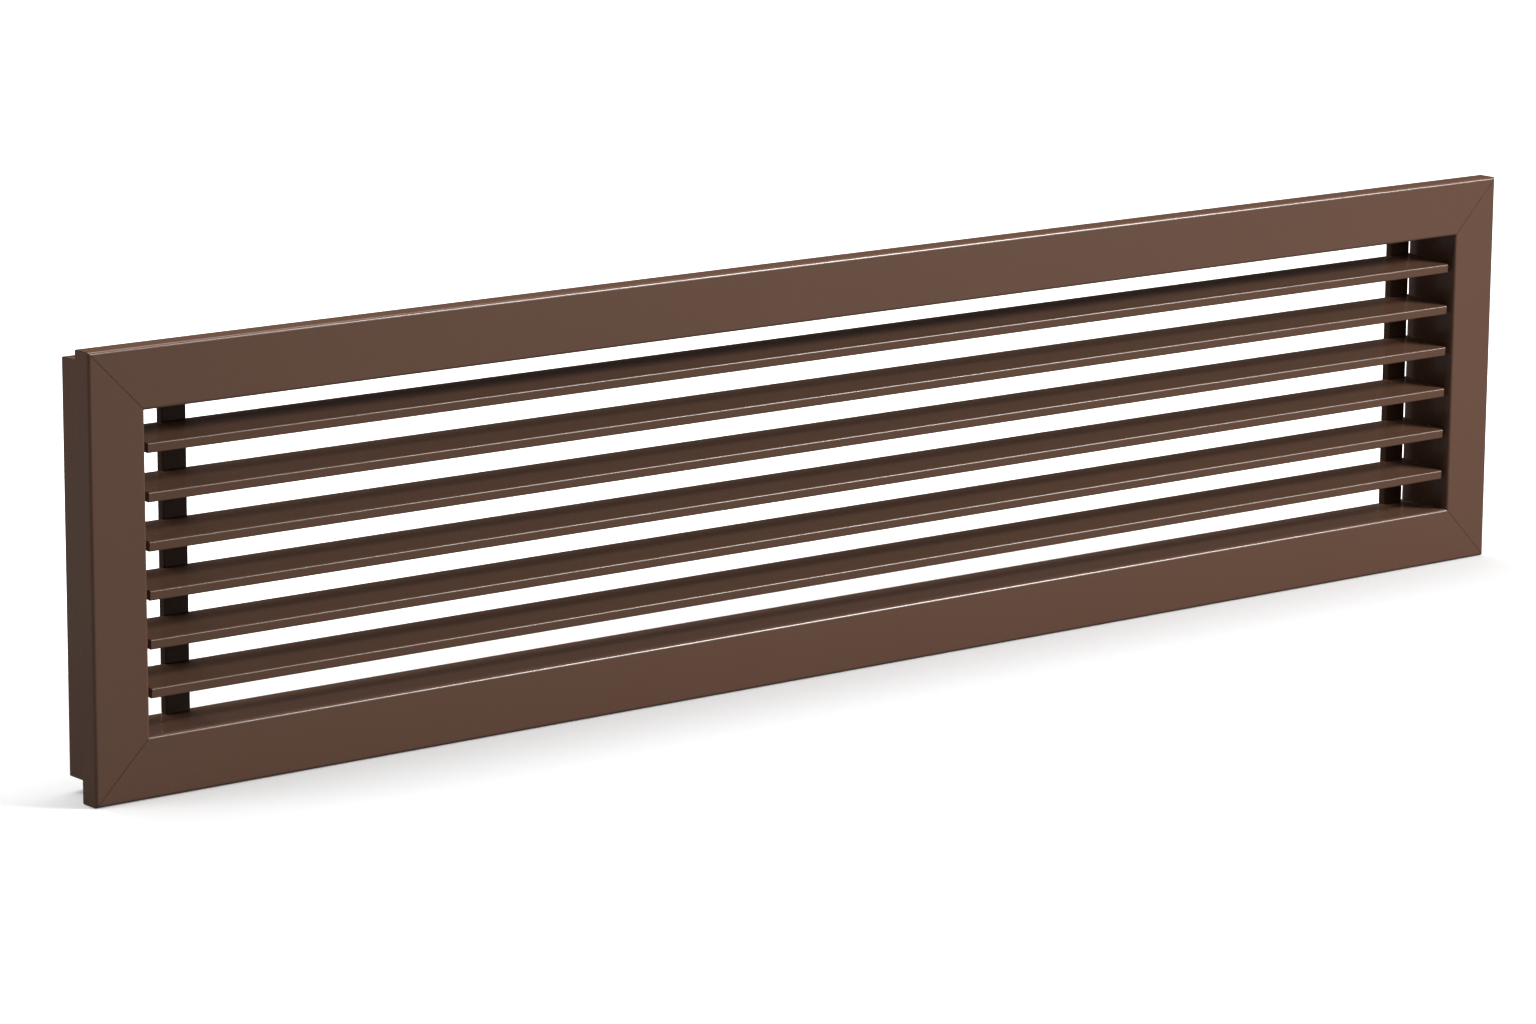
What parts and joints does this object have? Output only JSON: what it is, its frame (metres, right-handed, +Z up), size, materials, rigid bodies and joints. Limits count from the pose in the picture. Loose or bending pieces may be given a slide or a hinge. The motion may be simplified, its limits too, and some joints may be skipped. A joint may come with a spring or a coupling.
{
  "type": "ventilation grille",
  "caption": "Long, low wall grille: a mitred hollow frame with a deep lip around inclined fixed blades, which two upright flat bars carry from behind.",
  "frame": {"origin": "middle of the grille, in the wall plane that the rear edge of the lip meets", "axes": "+X along the width to the right seen from the front, +Y into the wall, +Z up; the face looks along -Y"},
  "size_m": [0.85, 0.033, 0.2],
  "materials": {
    "frame_finish": "satin dark brown powder coat on extruded aluminium",
    "blade_finish": "satin dark brown powder coat on extruded aluminium",
    "bar_finish": "satin dark brown powder coat on aluminium flat bar",
    "key_alloy": "bare extruded aluminium, as sawn",
    "screw_steel": "plain steel screws"
  },
  "bodies": {
    "root": {"top_rail": "frame_finish", "bottom_rail": "frame_finish", "left_stile": "frame_finish", "right_stile": "frame_finish", "blade_1": "blade_finish", "blade_2": "blade_finish", "blade_3": "blade_finish", "blade_4": "blade_finish", "blade_5": "blade_finish", "blade_6": "blade_finish", "left_support_bar": "bar_finish", "right_support_bar": "bar_finish", "top_left_corner_key": "key_alloy", "top_right_corner_key": "key_alloy", "bottom_left_corner_key": "key_alloy", "bottom_right_corner_key": "key_alloy", "top_left_bar_screw": "screw_steel", "top_right_bar_screw": "screw_steel", "bottom_left_bar_screw": "screw_steel", "bottom_right_bar_screw": "screw_steel", "left_blade_screws": "screw_steel", "right_blade_screws": "screw_steel"}
  },
  "joints": []
}
